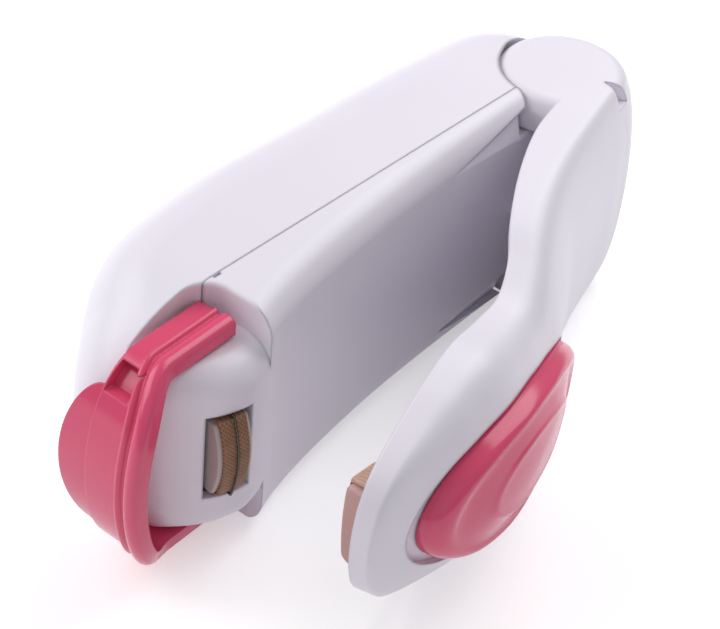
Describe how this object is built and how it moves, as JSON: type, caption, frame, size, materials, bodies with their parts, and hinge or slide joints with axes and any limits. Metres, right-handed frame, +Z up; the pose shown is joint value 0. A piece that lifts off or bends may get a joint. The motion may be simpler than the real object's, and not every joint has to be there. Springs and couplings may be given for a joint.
{
  "type": "mini bag sealer",
  "caption": "Hand-held battery bag sealer: curved two-shell body with a heater at the nose, a sprung pressing lever, a swinging lock clip and a lift-off battery cover.",
  "frame": {"origin": "centre of the bounding box in plan, at the level of the side that the sealer lies on", "axes": "+X along the length from the nose with the heater to the lever's hinge, +Y from the lever towards the battery cover, +Z up across the width, along the hinge pin"},
  "size_m": [0.1018, 0.0614, 0.035],
  "materials": {
    "shell": "moulded, satin to gloss, white with a faint lilac tint",
    "pink": "moulded, glossy",
    "liner": "moulded, matt",
    "silicone": "matt silicone",
    "cloth": "coated glass weave",
    "ceramic": "heat-proof moulding, matt",
    "steel": "drawn",
    "nickel": "nickel plated",
    "brass": "stamped",
    "cell": "printed film sleeve, plain",
    "red_lead": "insulation",
    "black_lead": "insulation"
  },
  "bodies": {
    "body": {"heater_block": "ceramic", "heater_cloth": "cloth", "heater_wire": "steel", "heater_bracket": "liner", "heater_clip_upper": "brass", "heater_clip_lower": "brass", "main_case": "shell", "battery_tray": "liner", "cell_upper": "cell", "cell_lower": "cell", "positive_tab": "nickel", "negative_tab": "nickel", "bridge_plate": "nickel", "cell_spring_nose": "steel", "cell_spring_tail": "steel", "contact_leaf": "brass", "contact_fixed": "brass", "hinge_pin": "steel", "return_spring": "steel", "tray_screw_1": "steel", "tray_screw_2": "steel", "tray_screw_3": "steel", "lead_negative": "black_lead", "lead_switch": "red_lead", "lead_positive": "red_lead"},
    "cover": {"battery_cover": "shell"},
    "lock": {"lock_clip": "pink"},
    "switch": {"switch_plunger": "liner"},
    "lever": {"lever_shell": "shell", "lever_liner": "liner", "thumb_pad": "pink", "press_pad": "silicone", "press_cloth": "cloth", "liner_screw_1": "steel", "liner_screw_2": "steel"}
  },
  "joints": [
    {"name": "lever_hinge", "type": "hinge", "parent": "body", "child": "lever", "pos_m": [0.04039, 0.00797, 0.0175], "axis": [0, 0, -1], "range_deg": [0, 11], "stiffness_Nm_per_rad": 0.22, "springref_deg": -20.05, "deforming": ["return_spring"]},
    {"name": "lock_swing", "type": "hinge", "parent": "body", "child": "lock", "pos_m": [-0.03261, 0.00587, 0.0175], "axis": [0, 0, 1], "range_deg": [0, 32]},
    {"name": "cover_lift", "type": "slide", "parent": "body", "child": "cover", "axis": [0, 1, 0], "range_m": [0, 0.03]},
    {"name": "switch_press", "type": "slide", "parent": "body", "child": "switch", "axis": [0, 1, 0], "range_m": [0, 0.0025], "deforming": ["contact_leaf"]}
  ],
  "couplings": [
    {"joint": "switch_press", "follows": "lever_hinge", "m_per_rad": 0.0103}
  ]
}
